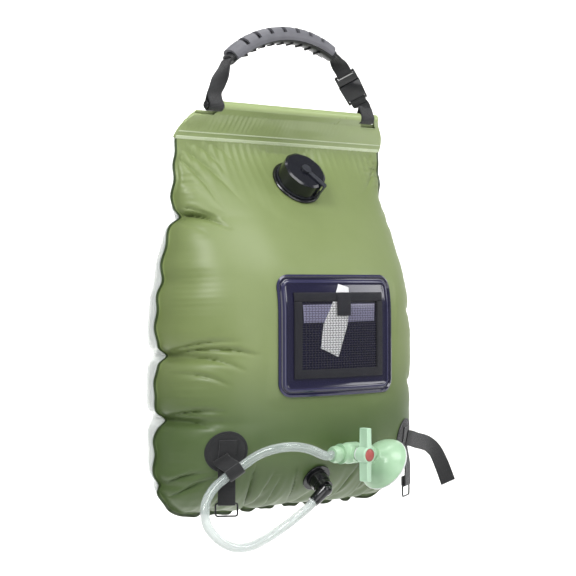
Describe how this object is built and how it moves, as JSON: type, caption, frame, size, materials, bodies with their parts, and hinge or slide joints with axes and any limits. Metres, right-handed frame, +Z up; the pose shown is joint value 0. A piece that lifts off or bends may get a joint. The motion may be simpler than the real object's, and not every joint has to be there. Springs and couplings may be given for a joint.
{
  "type": "camp shower bag",
  "caption": "Hanging camp shower bag with moulded grip, screw filler cap, net pocket, hose and hand shower with a turning tap.",
  "frame": {"origin": "hang point: the underside of the grip's crown, where a hook or branch bears", "axes": "+Z up as the bag hangs, -Y out of the bag's front, +X along the rod to the side with the buckle"},
  "size_m": [0.4234, 0.2718, 0.6184],
  "materials": {
    "green_sheet": "olive green PVC sheet, satin, welded",
    "clear_sheet": "clear PVC sheet, hazy",
    "black_moulding": "black moulded plastic, glossy",
    "slate_moulding": "slate black moulded plastic, glossy",
    "grey_overmould": "light grey soft overmould, matte",
    "webbing": "black woven webbing and tape",
    "pocket_sheet": "dark blue-black gloss PVC sheet",
    "net": "black knitted net",
    "card": "blank white card",
    "seal": "black rubber washer",
    "mint": "mint green moulded plastic",
    "pale_mint": "pale mint moulded plastic",
    "white_moulding": "white moulded plastic",
    "red_moulding": "dull red moulded plastic",
    "hose_tube": "clear flexible PVC tube"
  },
  "bodies": {
    "handle": {"grip_core": "black_moulding", "grip_cover": "grey_overmould", "left_webbing": "webbing", "right_lower_webbing": "webbing", "right_upper_webbing": "webbing", "buckle_female": "black_moulding"},
    "buckle_half": {"buckle_male": "black_moulding"},
    "cap_tether": {"cap_leash": "black_moulding"},
    "cap": {"filler_cap": "slate_moulding", "cap_gasket": "seal"},
    "left_strap_ring": {"left_ring": "black_moulding"},
    "right_strap_ring": {"right_ring": "black_moulding"},
    "tap": {"tap_handle": "pale_mint", "tap_spindle": "white_moulding", "tap_cap": "red_moulding"},
    "bag": {"front_panel": "green_sheet", "back_panel": "clear_sheet", "hem_sleeve": "green_sheet", "hem_rod": "black_moulding", "filler_flange": "black_moulding", "pocket_panel": "pocket_sheet", "pocket_binding": "webbing", "pocket_mouth_band": "webbing", "pocket_net": "net", "pocket_card": "card", "pocket_tab": "webbing", "left_patch": "webbing", "right_patch": "webbing", "left_ring_strap": "webbing", "right_ring_strap": "webbing", "left_hose_strap": "webbing", "right_strap_tail": "webbing", "outlet_flange": "black_moulding", "outlet_gasket": "seal", "outlet_nut": "black_moulding", "outlet_elbow": "black_moulding", "hose": "hose_tube", "hose_collar": "mint", "valve_body": "mint", "rose_shell": "mint", "rose_plate": "white_moulding", "tap_gland": "white_moulding"}
  },
  "joints": [
    {"name": "handle_swing", "type": "hinge", "parent": "handle", "child": "bag", "pos_m": [0.022, 0, -0.0808], "axis": [1, 0, 0], "range_deg": [-75, 75]},
    {"name": "buckle_release", "type": "slide", "parent": "handle", "child": "buckle_half", "axis": [-0.5821, 0, 0.8131], "range_m": [0, 0.017], "deforming": ["right_upper_webbing"]},
    {"name": "cap_lift", "type": "slide", "parent": "bag", "child": "cap_tether", "axis": [0, -0.788, 0.6157], "range_m": [0, 0.006]},
    {"name": "cap_turn", "type": "hinge", "parent": "cap_tether", "child": "cap", "pos_m": [0.022, -0.0048, -0.168], "axis": [0, -0.788, 0.6157], "range_deg": [0, 540]},
    {"name": "tap_turn", "type": "hinge", "parent": "bag", "child": "tap", "pos_m": [0.0221, -0.10926, -0.489], "axis": [0.1045, -0.9945, 0], "range_deg": [0, 90]},
    {"name": "left_ring_swing", "type": "hinge", "parent": "bag", "child": "left_strap_ring", "pos_m": [-0.11408, -0.05315, -0.54249], "axis": [-0.8612, 0.5083, 0], "range_deg": [-20, 70]},
    {"name": "right_ring_swing", "type": "hinge", "parent": "bag", "child": "right_strap_ring", "pos_m": [0.15808, -0.05315, -0.54249], "axis": [-0.8612, -0.5083, 0], "range_deg": [-20, 70]}
  ],
  "couplings": [
    {"joint": "cap_turn", "follows": "cap_lift", "rad_per_m": 1570.8}
  ]
}
